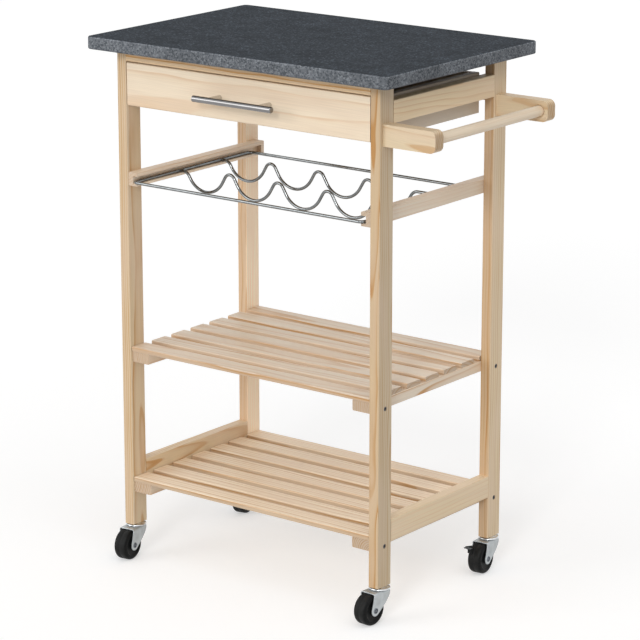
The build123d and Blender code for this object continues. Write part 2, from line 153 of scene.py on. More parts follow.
class CartSettings(bpy.types.PropertyGroup):
    wood: PointerProperty(type=WoodSettings)
    stone: PointerProperty(type=StoneSettings)
    metal: PointerProperty(type=MetalSettings)
    caster: PointerProperty(type=CasterSettings)
    stage: PointerProperty(type=StageSettings)


def add(tree, kind, links=None, stops=None, **settings):
    """Adds a node with its settings, its linked or fixed inputs, and its ramp's stops from low to high."""
    node = tree.nodes.new("ShaderNode" + kind)
    for key, value in settings.items():
        setattr(node, key, value)
    for socket, value in (links or {}).items():
        if isinstance(value, bpy.types.NodeSocket):
            tree.links.new(value, node.inputs[socket])
        else:
            node.inputs[socket].default_value = value
    for place, (position, shade) in enumerate(stops or []):
        ramp = node.color_ramp.elements
        stop = ramp[place] if place < len(ramp) else ramp.new(position)
        stop.position = position
        stop.color = (shade, shade, shade, 1) if isinstance(shade, (int, float)) else (*shade, 1)
    return node


def new_material(name):
    """An empty material and its node tree."""
    made = bpy.data.materials.new(name)
    made.use_nodes = True
    made.node_tree.nodes.clear()
    return made, made.node_tree


def close(made, height, depth, links):
    """Ends a material: relief of that depth in millimetres, the shader with its inputs, and the output."""
    tree = made.node_tree
    relief = add(tree, "Bump", {"Height": height, "Distance": depth * MM, "Strength": 1})
    shader = add(tree, "BsdfPrincipled", {**links, "Normal": relief.outputs[0]})
    add(tree, "OutputMaterial", {"Surface": shader.outputs[0]})
    return made


def dress(material, *nodes):
    """Gives CAD nodes a material."""
    for node in nodes:
        slots = frame["nodes"][node].data.materials
        slots.clear()
        slots.append(material)


# How each board was sawn: the axis of its grain, where the heart of the log lies beside the board's
# middle in millimetres, how the log leans, the width of its year rings, how bold they are, the board's
# own tone, which for the drawer sides is low as painted shade, and its early and late wood. Across the
# grain the two directions are X Y for an upright, Y Z for a board along X, and Z X for one along Y.
UPRIGHT, ACROSS, DEEP = "Z", "X", "Y"
ORDER = {UPRIGHT: ("X", "Y", "Z"), ACROSS: ("Y", "Z", "X"), DEEP: ("Z", "X", "Y")}
SAWN = {
    "front_right_leg": (UPRIGHT, (-5, 14), (0.001, 0.012), 3.2, 1.0, 0.8, "honey", "bold_ring"),
    "front_left_leg": (UPRIGHT, (-48, 6), (0.006, 0.004), 4.2, 1.1, 1.0, "honey", "bold_ring"),
    "back_right_leg": (UPRIGHT, (44, 40), (0.004, -0.006), 4.2, 0.7, 0.99, "honey", "bold_ring"),
    "back_left_leg": (UPRIGHT, (20, -46), (-0.006, 0.004), 4.4, 0.5, 1.34, "pale", "bold_ring"),
    "front_top_rail": (ACROSS, (34, 30), (0.004, 0.002), 6.0, 1.3, 1.22, "honey", "bold_ring"),
    "back_rail": (ACROSS, (-30, 44), (0.004, 0.002), 5.0, 0.5, 1.0, "honey", "bold_ring"),
    "drawer_front": (ACROSS, (96, -34), (0.010, 0.016), 13.0, 0.58, 1.0, "pale", "soft_ring"),
    "drawer_back": (ACROSS, (-60, -40), (0.004, 0.010), 8.0, 0.4, 1.0, "pale", "soft_ring"),
    # the drawer sides' low tone of 0.74 is painted shade, for the shade that they sit in under the worktop
    "drawer_left_side": (DEEP, (-30, 60), (0.010, 0.006), 7.0, 0.45, 0.74, "rose", "soft_ring"),
    "drawer_right_side": (DEEP, (-26, -62), (0.010, 0.006), 7.0, 0.45, 0.74, "rose", "soft_ring"),
    "left_upper_side_rail": (DEEP, (22, 50), (0.020, 0.01), 5.6, 0.55, 1.0, "honey", "soft_ring"),
    "right_upper_side_rail": (DEEP, (-24, -42), (0.020, 0.01), 4.0, 0.5, 1.13, "honey", "bold_ring"),
    "left_end_rail": (DEEP, (5, -25), (0.004, 0.03), 4.2, 1.1, 1.08, "honey", "bold_ring"),
    "right_end_rail": (DEEP, (36, -34), (0.008, 0.006), 4.4, 0.5, 1.06, "honey", "soft_ring"),
    "left_drawer_runner": (DEEP, (30, 40), (0.008, 0.01), 5.0, 0.5, 1.0, "honey", "soft_ring"),
    "right_drawer_runner": (DEEP, (30, -40), (0.008, 0.01), 5.0, 0.5, 1.0, "honey", "soft_ring"),
    "left_rack_rail": (DEEP, (44, -30), (0.006, 0.012), 5.5, 0.5, 1.15, "rose", "soft_ring"),
    "right_rack_rail": (DEEP, (-40, 34), (0.006, 0.012), 5.5, 0.45, 1.0, "rose", "soft_ring"),
    "left_mid_cleat": (DEEP, (4, 60), (0.006, 0.01), 3.2, 0.8, 1.12, "rose", "bold_ring"),
    "right_mid_cleat": (DEEP, (-6, 60), (0.006, 0.01), 3.0, 0.9, 1.02, "rose", "bold_ring"),
    "left_low_cleat": (DEEP, (12, -50), (0.006, 0.01), 3.6, 0.8, 1.12, "rose", "bold_ring"),
    "right_low_cleat": (DEEP, (-16, 22), (0.006, 0.01), 3.2, 0.9, 1.02, "rose", "bold_ring"),
    "front_towel_arm": (ACROSS, (46, -12), (0.03, 0.10), 5.0, 0.9, 0.97, "honey", "bold_ring"),
    "back_towel_arm": (ACROSS, (50, 10), (0.03, -0.08), 5.0, 0.8, 1.06, "honey", "bold_ring"),
    "towel_dowel": (DEEP, (26, 30), (0.010, 0.012), 5.0, 0.3, 0.96, "pale", "soft_ring"),
    "joint_dowels": (DEEP, (60, 60), (0.010, 0.012), 5.0, 0.3, 1.0, "pale", "soft_ring"),
    "mid_shelf_slats": (ACROSS, (22, -30), (0.012, 0.016), 6.5, 0.85, 1.02, "rose", "bold_ring"),
    "low_shelf_slats": (ACROSS, (-24, -34), (0.010, -0.014), 6.5, 0.85, 1.12, "pale", "bold_ring"),
}
# how much more late wood lies along the front and back faces of these, and how much lighter or darker
# those faces are made as painted light and shade
FRONT_GRAIN_AND_PAINTED_LIGHT = {"front_right_leg": (0.29, 1.14), "front_left_leg": (0.16, 0.94), "back_right_leg": (0.36, 0.92),
          "back_left_leg": (0.46, 0.74), "front_top_rail": (0.3, 1), "mid_shelf_slats": (0.36, 0.88),
          "low_shelf_slats": (0.38, 0.73)}


def planed_pine(wood, node):
    """Pine, sawn, planed and clear lacquered: pale early wood, a thin dark edge to each year ring, arcs and
    a darker tone on the end grain, long fine fibres, and a satin sheen that is duller between them. On some
    boards the front and back faces are made lighter or darker as painted light and shade."""
    axis, heart, lean, ring, bold, tone, early, late = SAWN[node]
    made, tree = new_material(f"planed_pine_{node}")
    low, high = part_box(node)
    middle = (low + high) / 2 / MM
    where = add(tree, "TexCoord").outputs
    spot = add(tree, "Mapping", {"Vector": where["Object"], "Location": tuple(-middle),
                                 "Scale": (1 / MM,) * 3})
    spot = add(tree, "SeparateXYZ", {0: spot.outputs[0]}).outputs
    first, second, grain = (spot[letter] for letter in ORDER[axis])
    if node.endswith("slats"):
        # each slat comes from another log, up to 26 and 30 mm away across the grain and 900 mm along it
        pitch = wood.slat_pitch / MM
        count = add(tree, "Math", {0: first, 1: pitch}, operation="DIVIDE")
        count = add(tree, "Math", {0: count.outputs[0]}, operation="ROUND").outputs[0]
        first = add(tree, "Math", {0: count, 1: -pitch, 2: first}, operation="MULTIPLY_ADD").outputs[0]
        chance = add(tree, "TexWhiteNoise", {"W": count}, noise_dimensions="1D").outputs["Color"]
        chance = add(tree, "SeparateXYZ", {0: chance}).outputs
        first = add(tree, "Math", {0: chance[0], 1: 26, 2: first}, operation="MULTIPLY_ADD").outputs[0]
        second = add(tree, "Math", {0: chance[1], 1: -30, 2: second}, operation="MULTIPLY_ADD").outputs[0]
        grain = add(tree, "Math", {0: chance[2], 1: 900, 2: grain}, operation="MULTIPLY_ADD").outputs[0]
    spot = add(tree, "CombineXYZ", {0: first, 1: second, 2: grain}).outputs[0]
    leaning = add(tree, "CombineXYZ", {0: grain, 1: grain}).outputs[0]
    log = add(tree, "VectorMath", {0: spot, 1: (-heart[0], -heart[1], 0)}, operation="ADD").outputs[0]
    log = add(tree, "VectorMath", {0: leaning, 1: (*lean, 0), 2: log}, operation="MULTIPLY_ADD").outputs[0]

    # the rings wander by up to 4.5 mm, in bends about 45 mm wide and as long as the grain's wave
    bend = MM / wood.wave
    slow = add(tree, "VectorMath", {0: log, 1: (0.022, 0.022, bend)}, operation="MULTIPLY").outputs[0]
    slow = add(tree, "TexNoise", {"Vector": slow, "Scale": 1, "Detail": 2, "Roughness": 0.4}).outputs["Color"]
    slow = add(tree, "VectorMath", {0: slow, 1: (0.5, 0.5, 0.5)}, operation="SUBTRACT").outputs[0]
    bent = add(tree, "VectorMath", {0: slow, 1: (9, 9, 0), 2: log}, operation="MULTIPLY_ADD").outputs[0]
    flat = add(tree, "VectorMath", {0: bent, 1: (1, 1, 0)}, operation="MULTIPLY").outputs[0]
    radius = add(tree, "VectorMath", {0: flat}, operation="LENGTH").outputs["Value"]
    # the years are wide and narrow by turns, over some 12 mm
    years = add(tree, "TexNoise", {"W": radius, "Scale": 0.08}, noise_dimensions="1D").outputs["Fac"]
    rings = add(tree, "Math", {0: radius, 1: ring}, operation="DIVIDE").outputs[0]
    rings = add(tree, "Math", {0: years, 1: 1.6, 2: rings}, operation="MULTIPLY_ADD").outputs[0]
    rings = add(tree, "Math", {0: rings}, operation="FRACT").outputs[0]
    edge = add(tree, "ValToRGB", {"Fac": rings}, stops=[(0, 0.5), (0.06, 0.02), (0.45, 0.05), (0.75, 0.36),
                                                        (0.9, 1), (1, 0.85)]).outputs[0]
    # their dark edges are bold and faint by turns, over some 6 mm
    strong = add(tree, "TexNoise", {"W": radius, "Scale": 0.17, "Detail": 0}, noise_dimensions="1D")
    strong = add(tree, "MapRange", {"Value": strong.outputs["Fac"], "From Min": 0.3, "From Max": 0.7,
                                    "To Min": 0.55 * bold, "To Max": bold}).outputs[0]
    ringed = add(tree, "Math", {0: edge, 1: strong}, operation="MULTIPLY").outputs[0]
    # along the board a ring grows faint and bold again, in patches about 33 mm wide and 150 mm long
    cloud = add(tree, "VectorMath", {0: log, 1: (0.03, 0.03, 0.0065)}, operation="MULTIPLY").outputs[0]
    cloud = add(tree, "TexNoise", {"Vector": cloud, "Scale": 1, "Detail": 1}).outputs["Fac"]
    faint = add(tree, "MapRange", {"Value": cloud, "From Min": 0.35, "From Max": 0.65,
                                   "To Min": 1.15, "To Max": 0.45}).outputs[0]
    ringed = add(tree, "Math", {0: ringed, 1: faint}, operation="MULTIPLY").outputs[0]
    # more of the late wood shows on the end grain, and on the front and back faces of the boards listed
    # above;
    # the end grain is also darker, and those front and back faces are made lighter or darker as painted light
    # and shade
    normal = add(tree, "SeparateXYZ", {0: where["Normal"]}).outputs
    faces = []
    for side, (most, tone_and_painted_light) in ((axis, (0.3, 0.74)), ("Y", FRONT_GRAIN_AND_PAINTED_LIGHT.get(node, (0, 1)))):
        faced = add(tree, "Math", {0: normal[side]}, operation="ABSOLUTE").outputs[0]
        more = add(tree, "MapRange", {"Value": faced, "From Min": 0.6, "From Max": 0.95,
                                      "To Min": 0, "To Max": most}).outputs[0]
        ringed = add(tree, "Math", {0: ringed, 1: more}, operation="ADD", use_clamp=True).outputs[0]
        faces.append(add(tree, "MapRange", {"Value": faced, "From Min": 0.7, "From Max": 0.95,
                                            "To Min": 1, "To Max": tone_and_painted_light}).outputs[0])

    # a fibre is about 140 mm long
    thin = MM / wood.fibre
    fine = add(tree, "VectorMath", {0: log, 1: (thin, thin, 0.007)}, operation="MULTIPLY").outputs[0]
    fine = add(tree, "TexNoise", {"Vector": fine, "Scale": 1, "Detail": 2, "Roughness": 0.5}).outputs["Fac"]
    drift = add(tree, "MapRange", {"Value": cloud, "From Min": 0.42, "From Max": 0.72,
                                   "To Min": 0, "To Max": 0.6}).outputs[0]
    body = add(tree, "Mix", {0: drift, 6: (*getattr(wood, early), 1), 7: (*wood.blush, 1)},
               data_type="RGBA").outputs[2]
    body = add(tree, "Mix", {0: ringed, 6: body, 7: (*getattr(wood, late), 1)}, data_type="RGBA").outputs[2]
    shade = add(tree, "MapRange", {"Value": fine, "From Min": 0.3, "From Max": 0.7,
                                   "To Min": 0.95 * tone, "To Max": 1.04 * tone}).outputs[0]
    # this brings in the end grain's darker tone and the painted light and shade of the front and back faces
    for face in faces:
        shade = add(tree, "Math", {0: shade, 1: face}, operation="MULTIPLY").outputs[0]
    body = add(tree, "VectorMath", {0: body, "Scale": shade}, operation="SCALE").outputs[0]
    dull = add(tree, "MapRange", {"Value": fine, "To Min": 0.64, "To Max": 0.44}).outputs[0]
    return close(made, fine, 0.012, {"Base Color": body, "Roughness": dull, "Coat Weight": 0.3,
                                    "Coat Roughness": 0.35})


def birch_plywood(wood):
    """Birch plywood, peeled and sanded: a broad watery figure on the face, stripes of ply on the edges."""
    made, tree = new_material("birch_plywood")
    where = add(tree, "TexCoord").outputs
    # one bend of the peeled figure is about 120 mm along and 22 mm across
    wide = add(tree, "VectorMath", {0: where["Object"], 1: (1 / 0.12, 1 / 0.022, 1 / 0.022)},
               operation="MULTIPLY").outputs[0]
    figure = add(tree, "TexNoise", {"Vector": wide, "Scale": 1, "Detail": 3, "Distortion": 0.8})
    # a pale and a dark stripe to each 0.6 mm of the edge
    ply = add(tree, "TexWave", {"Vector": where["Object"], "Scale": 500, "Distortion": 0.2},
              bands_direction="Z").outputs["Fac"]
    facing = add(tree, "SeparateXYZ", {0: where["Normal"]}).outputs["Z"]
    facing = add(tree, "Math", {0: facing}, operation="ABSOLUTE").outputs[0]
    figure = add(tree, "Mix", {0: facing, 2: ply, 3: figure.outputs["Fac"]}, data_type="FLOAT").outputs[0]
    shade = add(tree, "MapRange", {"Value": figure, "From Min": 0.25, "From Max": 0.75,
                                   "To Min": 0.86, "To Max": 1.06}).outputs[0]
    plain = add(tree, "Mix", {0: figure, 6: (*wood.soft_ring, 1), 7: (*wood.ply, 1)},
                data_type="RGBA").outputs[2]
    body = add(tree, "VectorMath", {0: plain, "Scale": shade}, operation="SCALE").outputs[0]
    dull = add(tree, "MapRange", {"Value": figure, "To Min": 0.7, "To Max": 0.55}).outputs[0]
    return close(made, figure, 0.03, {"Base Color": body, "Roughness": dull})


def honed_granite(stone):
    """Granite, sawn, with its top ground fine: crystals of pale feldspar and dark mica, clear on the sawn
    edges and fainter on the top, whose darker body is painted shade for the dark surroundings that it
    reflects, with a paler line of painted highlight along the eased top edge."""
    made, tree = new_material("honed_granite")
    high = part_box("worktop")[1]
    spot = add(tree, "TexCoord").outputs["Object"]
    scaled = add(tree, "VectorMath", {0: spot, "Scale": 1 / stone.grain}, operation="SCALE").outputs[0]
    crystals = add(tree, "TexVoronoi", {"Vector": scaled, "Scale": 1}).outputs
    chance = add(tree, "SeparateXYZ", {0: crystals["Color"]}).outputs[0]
    shade = [c * 0.6 for c in stone.painted_shade]
    gleam = [c * 2 for c in stone.painted_shade]
    sawn = add(tree, "ValToRGB", {"Fac": chance}, stops=[
        (0, stone.pepper), (0.22, stone.pepper), (0.36, stone.sawn), (0.72, stone.sawn), (0.9, stone.salt)])
    painted_shade = add(tree, "ValToRGB", {"Fac": chance}, stops=[
        (0, shade), (0.3, shade), (0.45, stone.painted_shade), (0.8, stone.painted_shade), (0.95, gleam)])
    height = add(tree, "SeparateXYZ", {0: spot}).outputs["Z"]
    # the top takes the darker colours: painted shade for the dark surroundings that it reflects
    top = add(tree, "MapRange", {"Value": height, "From Min": high.z - 0.7 * MM,
                                 "From Max": high.z - 0.15 * MM})
    # the sawn colour is lifted in a band just under the top's eased edge: a painted highlight
    painted_arris_highlight = add(tree, "MapRange", {"Value": height, "From Min": high.z - 2.6 * MM,
                                   "From Max": high.z - 1.6 * MM, "To Min": 1, "To Max": 1.2})
    body = add(tree, "VectorMath", {0: sawn.outputs[0], "Scale": painted_arris_highlight.outputs[0]},
               operation="SCALE").outputs[0]
    body = add(tree, "Mix", {0: top.outputs[0], 6: body, 7: painted_shade.outputs[0]}, data_type="RGBA").outputs[2]
    # cloudy patches about 45 mm wide, with smaller ones in them down to 6 mm
    cloud = add(tree, "TexNoise", {"Vector": spot, "Scale": 1 / 0.045, "Detail": 3, "Roughness": 0.75})
    cloud = add(tree, "MapRange", {"Value": cloud.outputs["Fac"], "From Min": 0.3, "From Max": 0.7,
                                   "To Min": 0.78, "To Max": 1.22}).outputs[0]
    body = add(tree, "VectorMath", {0: body, "Scale": cloud}, operation="SCALE").outputs[0]
    dull = add(tree, "MapRange", {"Value": chance, "To Min": 0.58, "To Max": 0.74}).outputs[0]
    return close(made, chance, 0.04, {"Base Color": body, "Roughness": dull, "Specular IOR Level": 0.02})


def brushed_stainless(name, colour, metal):
    """Stainless steel, drawn and brushed along its length: fine lines that stretch the highlight."""
    made, tree = new_material(f"brushed_stainless_{name}")
    spot = add(tree, "TexCoord").outputs["Object"]
    # the real lines are about 0.1 mm apart, drawn coarser here so that they show
    fine = 1 / metal.brush
    lines = add(tree, "VectorMath", {0: spot, 1: (fine / 60, fine, fine)}, operation="MULTIPLY").outputs[0]
    lines = add(tree, "TexNoise", {"Vector": lines, "Scale": 1, "Detail": 2}).outputs["Fac"]
    shade = add(tree, "MapRange", {"Value": lines, "From Min": 0.3, "From Max": 0.7,
                                   "To Min": 0.86, "To Max": 1.1}).outputs[0]
    body = add(tree, "Mix", {0: 1.0, 6: (*colour, 1), 7: shade}, data_type="RGBA", blend_type="MULTIPLY")
    dull = add(tree, "MapRange", {"Value": lines, "To Min": 0.05, "To Max": 0.16}).outputs[0]
    return close(made, lines, 0.02, {"Base Color": body.outputs[2], "Roughness": dull, "Metallic": 1.0})


def chromed_steel(name, colour):
    """Steel, drawn or pressed and chromed: shining lines on the colour given, which for the rack's wires
    is dark as painted shade, and a slightly uneven skin of plating.
    """
    made, tree = new_material(f"chromed_steel_{name}")
    spot = add(tree, "TexCoord").outputs["Object"]
    # ripples of the plating, about 7 mm long
    skin = add(tree, "TexNoise", {"Vector": spot, "Scale": 1 / 0.007, "Detail": 2}).outputs["Fac"]
    shade = add(tree, "MapRange", {"Value": skin, "From Min": 0.3, "From Max": 0.7,
                                   "To Min": 0.8, "To Max": 1.15}).outputs[0]
    body = add(tree, "Mix", {0: 1.0, 6: (*colour, 1), 7: shade}, data_type="RGBA", blend_type="MULTIPLY")
    dull = add(tree, "MapRange", {"Value": skin, "To Min": 0.06, "To Max": 0.18}).outputs[0]
    return close(made, skin, 0.02, {"Base Color": body.outputs[2], "Roughness": dull, "Metallic": 1.0})


def zinc_plated_steel(name, colour):
    """Steel, pressed or turned and zinc plated: satin blue grey, with cloudy patches and fine pits."""
    made, tree = new_material(f"zinc_plated_steel_{name}")
    spot = add(tree, "TexCoord").outputs["Object"]
    # patches about 12 mm wide, pits about 0.8 mm
    patch = add(tree, "TexNoise", {"Vector": spot, "Scale": 1 / 0.012, "Detail": 3}).outputs["Fac"]
    pits = add(tree, "TexNoise", {"Vector": spot, "Scale": 1 / 0.0008, "Detail": 1}).outputs["Fac"]
    shade = add(tree, "MapRange", {"Value": patch, "From Min": 0.3, "From Max": 0.7,
                                   "To Min": 0.82, "To Max": 1.08}).outputs[0]
    body = add(tree, "Mix", {0: 1.0, 6: (*colour, 1), 7: shade}, data_type="RGBA", blend_type="MULTIPLY")
    dull = add(tree, "MapRange", {"Value": patch, "To Min": 0.4, "To Max": 0.6}).outputs[0]
    return close(made, pits, 0.02, {"Base Color": body.outputs[2], "Roughness": dull, "Metallic": 1.0})


def moulded_rubber(caster):
    """Black rubber, moulded and trimmed: a fine matt skin, a little shine on the rounded shoulders, grey
    scuffs of floor dust, and more of that grey on the tread of a wheel, whose axle is its own X, and all over
    a brake pad, which is partly floor dust and partly painted sheen."""
    made, tree = new_material("moulded_rubber")
    spot = add(tree, "TexCoord").outputs["Object"]
    across = add(tree, "VectorMath", {0: spot, 1: (0, 1, 1)}, operation="MULTIPLY").outputs[0]
    radius = add(tree, "VectorMath", {0: across}, operation="LENGTH").outputs["Value"]
    tread = add(tree, "MapRange", {"Value": radius, "From Min": caster.wheel_radius - 1.2 * MM,
                                   "From Max": caster.wheel_radius - 0.2 * MM}).outputs[0]
    # the skin's grain is about 0.5 mm, scuffs about 4 mm
    skin = add(tree, "TexNoise", {"Vector": spot, "Scale": 1 / 0.0005, "Detail": 1}).outputs["Fac"]
    scuff = add(tree, "TexNoise", {"Vector": spot, "Scale": 1 / 0.004, "Detail": 3}).outputs["Fac"]
    film_and_sheen = add(tree, "MapRange", {"Value": scuff, "From Min": 0.4, "From Max": 0.75,
                                  "To Min": 0, "To Max": 0.12}).outputs[0]
    # the tread, and all of a brake pad, take a further lift towards the grey: partly floor dust, partly
    # painted sheen
    film_and_sheen = add(tree, "Math", {0: tread, 1: 0.2, 2: film_and_sheen}, operation="MULTIPLY_ADD").outputs[0]
    body = add(tree, "Mix", {0: film_and_sheen, 6: (*caster.rubber, 1), 7: (*caster.dust_and_sheen, 1)},
               data_type="RGBA").outputs[2]
    dull = add(tree, "MapRange", {"Value": film_and_sheen, "To Min": 0.42, "To Max": 0.8}).outputs[0]
    return close(made, skin, 0.02, {"Base Color": body, "Roughness": dull, "Specular IOR Level": 0.12})


def turned(name, rings, material, count):
    """A piece turned about its own X, from rings of (place, radius) in millimetres, each of count points. A
    third number gives a ring that many corners, for the recess of a screw."""
    shape = bmesh.new()
    rows = []
    for place, radius, *corners in rings:
        row = []
        for step in range(count):
            angle = 2 * math.pi * step / count
            reach = radius
            if corners:
                part = 2 * math.pi / corners[0]
                reach = radius / math.cos((angle + part / 2) % part - part / 2)
            across, up = reach * math.cos(angle), reach * math.sin(angle)
            row.append(shape.verts.new((place * MM, across * MM, up * MM)))
        rows.append(row)
    for row, after in zip(rows, rows[1:]):
        for step in range(count):
            nearby = (step + 1) % count
            shape.faces.new((row[step], row[nearby], after[nearby], after[step]))
    bmesh.ops.remove_doubles(shape, verts=shape.verts, dist=WELD)
    bmesh.ops.recalc_face_normals(shape, faces=shape.faces)
    mesh = bpy.data.meshes.new(name)
    shape.to_mesh(mesh)
    shape.free()
    mesh.shade_smooth()
    mesh.set_sharp_from_angle(angle=CRISP)
    mesh.materials.append(material)
    return mesh


def bored(name, mesh, holes, material):
    """The mesh with round holes, each (matrix of its axis, radius, length) in millimetres."""
    drills = bmesh.new()
    for matrix, radius, long in holes:
        end = long / 2
        drill = turned("drill", [(-end, 0), (-end, radius), (end, radius), (end, 0)], material, 40)
        drill.transform(matrix)
        drills.from_mesh(drill)
        bpy.data.meshes.remove(drill)
    steel = bpy.data.meshes.new(f"{name}_drill")
    drills.to_mesh(steel)
    drills.free()
    steel.materials.append(material)
    blank, tool = bpy.data.objects.new(name, mesh), bpy.data.objects.new(f"{name}_drill", steel)
    for item in (blank, tool):
        bpy.context.scene.collection.objects.link(item)
    cut = blank.modifiers.new("holes", "BOOLEAN")
    cut.operation, cut.solver, cut.object = "DIFFERENCE", "EXACT", tool
    made = bpy.data.meshes.new_from_object(blank.evaluated_get(bpy.context.evaluated_depsgraph_get()))
    for item in (blank, tool):
        bpy.data.objects.remove(item)
    bpy.data.meshes.remove(mesh)
    bpy.data.meshes.remove(steel)
    made.name = name
    made.shade_smooth()
    made.set_sharp_from_angle(angle=CRISP)
    return made


def pressed_fork(name, size, pivot, brake_pin, material):
    """A fork pressed from one sheet, about its axle along X: a crown under the race is bent down into two
    cheeks, each with a round knee behind, a round foot at the axle and softened edges."""
    half, sheet, top = size.fork_width / MM / 2, size.sheet / MM, pivot.z / MM
    # in millimetres from the axle: the foot's radius, the crown's front edge, its back edge beside the
    # cheeks and in its middle, the outer radius of the bend into a cheek, and the width of a softened edge
    foot, front, back, tail, bow, soft = 8.7, -2.7, 33.6, 35.8, 3.4, 0.4
    foot_steps, knee_steps, bow_steps = 6, 14, 6
    shares = (0, 0.33, 0.67, 1)
    cheek_top, crown_end = top - bow, half - bow
    # the back edge of a cheek as (z, y): round the foot, up a lean, and through the knee to the bend
    lean = math.radians(35)
    start = (foot * math.sin(lean), -foot * math.cos(lean))
    knee = (back, start[1] + math.tan(lean) * (back - start[0]))
    turns = [lean * step / foot_steps for step in range(foot_steps)]
    edges = [(-foot * math.cos(turn), foot * math.sin(turn)) for turn in turns]
    for step in range(knee_steps + 1):
        t = step / knee_steps
        edges.append(((1 - t) ** 2 * start[1] + 2 * t * (1 - t) * knee[1] + t * t * cheek_top,
                      (1 - t) ** 2 * start[0] + 2 * t * (1 - t) * knee[0] + t * t * back))
    # each column of the sheet: outside and inside as (x, z), and its front and back edge
    columns = []
    for z, behind in edges:
        ahead = -math.sqrt(foot ** 2 - z ** 2) if z < 0 else -foot + (front + foot) * z / cheek_top
        columns.append(((half, z), (half - sheet, z), ahead, behind))
    for step in range(1, bow_steps + 1):
        a = math.radians(90 / bow_steps * step)
        inner = bow - sheet
        columns.append(((crown_end + bow * math.cos(a), cheek_top + bow * math.sin(a)),
                        (crown_end + inner * math.cos(a), cheek_top + inner * math.sin(a)), front, back))
    for share in (0.7, 0.35):
        x = share * crown_end
        columns.append(((x, top), (x, top - sheet), front, tail - (tail - back) * share ** 2))
    columns.append(((0, top), (0, top - sheet), front, tail))
    columns += [((-a[0], a[1]), (-b[0], b[1]), ahead, behind)
                for a, b, ahead, behind in reversed(columns[:-1])]

    shape = bmesh.new()
    grids = []
    for side in (0, 1):
        grid = []
        for column in columns:
            x, z = column[side]
            ahead, behind = column[2:]
            places = [ahead + (behind - ahead) * share for share in shares]
            grid.append([shape.verts.new((x * MM, y * MM, z * MM)) for y in places])
        grids.append(grid)
    last = len(shares) - 1
    for grid in grids:
        for row, after in zip(grid, grid[1:]):
            for k in range(last):
                shape.faces.new((row[k], row[k + 1], after[k + 1], after[k]))
    outside, inside = grids
    for k in (0, last):
        for step in range(len(columns) - 1):
            shape.faces.new((outside[step][k], outside[step + 1][k], inside[step + 1][k], inside[step][k]))
    bmesh.ops.remove_doubles(shape, verts=shape.verts, dist=WELD)
    bmesh.ops.recalc_face_normals(shape, faces=shape.faces)
    # the sheet's edges turn by more than 1.1 radians, and its bends by less
    rim = [edge for edge in shape.edges if len(edge.link_faces) == 2 and edge.calc_face_angle() > 1.1]
    bmesh.ops.bevel(shape, geom=rim, offset=soft * MM, segments=2, profile=0.5, affect="EDGES")
    mesh = bpy.data.meshes.new(name)
    shape.to_mesh(mesh)
    shape.free()
    mesh.materials.append(material)
    # bores for the king pin and the brake's pin go through one sheet, the rivet's through both cheeks
    king_bore, pin_bore, short, through = 4.05, 2.05, 8, 40
    holes = [(along((0, 0, 1), pivot), king_bore, short), (Matrix(), RIVET_BORE, through)]
    if brake_pin:
        holes.append((Matrix.Translation((-half * MM, brake_pin.y, brake_pin.z)), pin_bore, short))
    return bored(name, mesh, holes, material)


def set_down(name, mesh, matrix, body, slot, *nodes):
    """Puts a piece in its place on a body, in place of those nodes if any are named."""
    piece = bpy.data.objects.new(name, mesh)
    bpy.context.scene.collection.objects.link(piece)
    piece.matrix_world = matrix
    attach(piece, body)
    if nodes:
        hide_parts(*nodes)
    return piece


def along(direction, place):
    """The matrix that turns local X to a direction and moves it to a place."""
    turn = Vector(direction).to_track_quat("X", "Z")
    return Matrix.Translation(place) @ turn.to_matrix().to_4x4()


def strewn(name, mesh, matrices):
    """One mesh with a copy at each matrix."""
    shape = bmesh.new()
    for matrix in matrices:
        copy = mesh.copy()
        copy.transform(matrix)
        shape.from_mesh(copy)
        bpy.data.meshes.remove(copy)
    joined = bpy.data.meshes.new(name)
    shape.to_mesh(joined)
    shape.free()
    joined.materials.append(mesh.materials[0])
    return joined


def screw_seats(node):
    """For each screw of a CAD node: the middle of its head's face, the direction that it faces, and its
    length in millimetres."""
    shape = bmesh.new()
    shape.from_mesh(frame["nodes"][node].data)
    bmesh.ops.remove_doubles(shape, verts=shape.verts, dist=1e-6)
    # only a screw's head reaches further than this from its axis
    shank = 2.8 * MM
    left = dict.fromkeys(shape.verts)
    seats = []
    while left:
        found = [left.popitem()[0]]
        for vert in found:
            for link in vert.link_edges:
                other = link.other_vert(vert)
                if other in left:
                    del left[other]
                    found.append(other)
        spots = [vert.co.copy() for vert in found]
        low = Vector(map(min, zip(*spots)))
        high = Vector(map(max, zip(*spots)))
        middle = (low + high) / 2
        size = high - low
        axis = max(range(3), key=lambda k: size[k])
        arms = [spot - middle for spot in spots]
        head = [arm[axis] for arm in arms if arm.length_squared - arm[axis] ** 2 > shank ** 2]
        facing = Vector((0, 0, 0))
        facing[axis] = 1 if sum(head) > 0 else -1
        seats.append((middle + facing * size[axis] / 2, facing, size[axis] / MM))
    shape.free()
    return seats


class CART_OT_stone_worktop(bpy.types.Operator):
    """Finish the stone slab"""
    bl_idname = "cart.stone_worktop"
    bl_label = "Stone worktop"

    def execute(self, context):
        dress(honed_granite(context.scene.cart.stone), "worktop")
        return {"FINISHED"}


class CART_OT_pine_frame(bpy.types.Operator):
    """Finish the legs, rails and dowels of the frame"""
    bl_idname = "cart.pine_frame"
    bl_label = "Pine frame"

    def execute(self, context):
        for node in SAWN:
            if node.endswith(("_leg", "_rail", "joint_dowels", "_runner")) and "rack" not in node:
                dress(planed_pine(context.scene.cart.wood, node), node)
        return {"FINISHED"}


